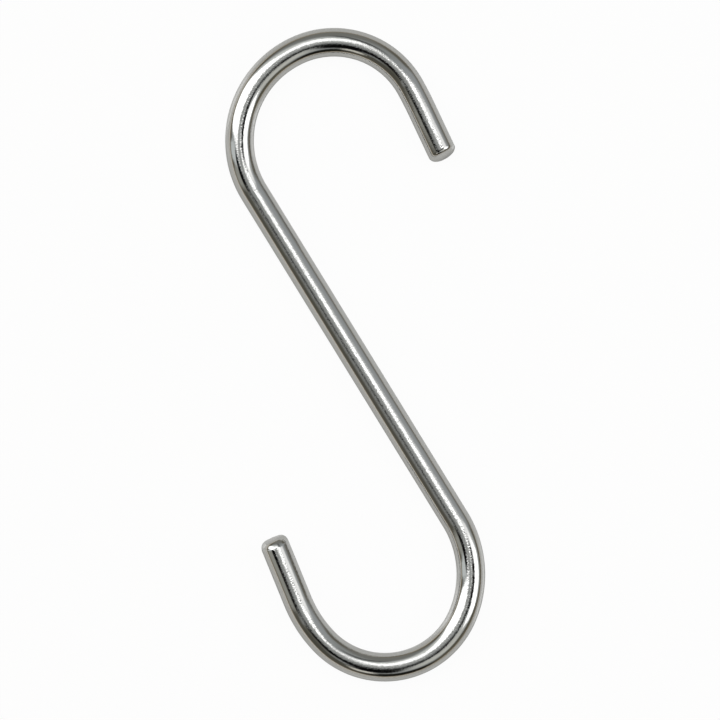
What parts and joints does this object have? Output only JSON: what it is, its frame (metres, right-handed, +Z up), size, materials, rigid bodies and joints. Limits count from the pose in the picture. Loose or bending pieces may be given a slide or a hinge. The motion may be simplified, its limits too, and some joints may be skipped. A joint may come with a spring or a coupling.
{
  "type": "s hook",
  "caption": "Open S hook bent from one length of bright round steel wire, with two wide bends and straight legs cut to crowned, rounded tips.",
  "frame": {"origin": "middle of the hook's plan, on the plane that the lying hook rests on", "axes": "+Z up out of the plane of the bends, +Y along the load line from the lower crown to the upper crown, +X to the side that the upper tip is on"},
  "size_m": [0.0414, 0.1144, 0.005],
  "materials": {
    "bright_wire": "bright drawn wire, polished, with fine pits and drawing lines"
  },
  "bodies": {
    "root": {"hook": "bright_wire"}
  },
  "joints": []
}
